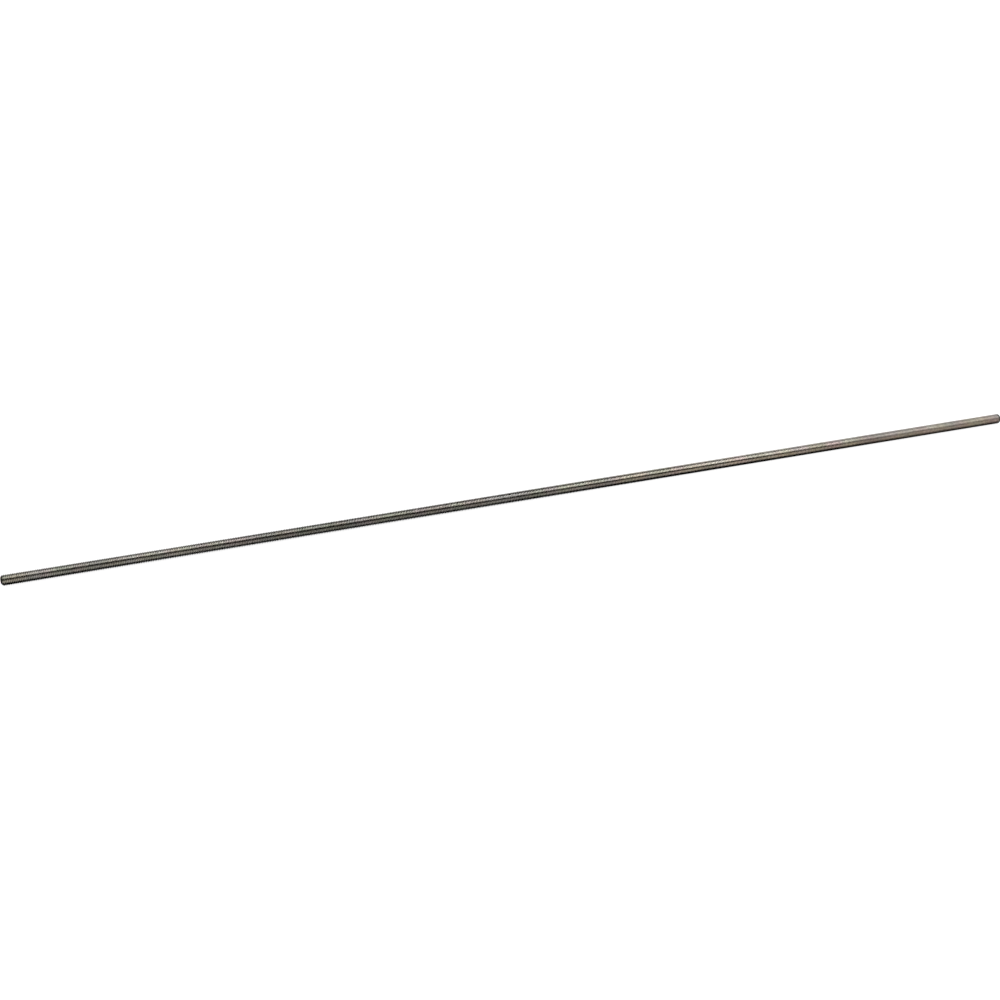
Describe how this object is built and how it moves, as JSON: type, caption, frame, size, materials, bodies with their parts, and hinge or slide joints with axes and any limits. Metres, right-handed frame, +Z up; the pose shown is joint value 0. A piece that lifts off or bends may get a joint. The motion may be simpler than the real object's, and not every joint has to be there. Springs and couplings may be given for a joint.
{
  "type": "threaded rod",
  "caption": "Straight steel rod with a right-hand thread over its whole length and a chamfer on both ends; cut to length, it joins or hangs parts with nuts.",
  "frame": {"origin": "middle of the rod's axis", "axes": "+X along the rod, +Z up; the rod is round, so Y and Z are alike"},
  "size_m": [1, 0.01, 0.01],
  "materials": {
    "bare_steel": "plain rolled steel, lightly oiled, dark in the thread's roots and a little tan towards one end"
  },
  "bodies": {
    "root": {"threaded_rod": "bare_steel"}
  },
  "joints": []
}
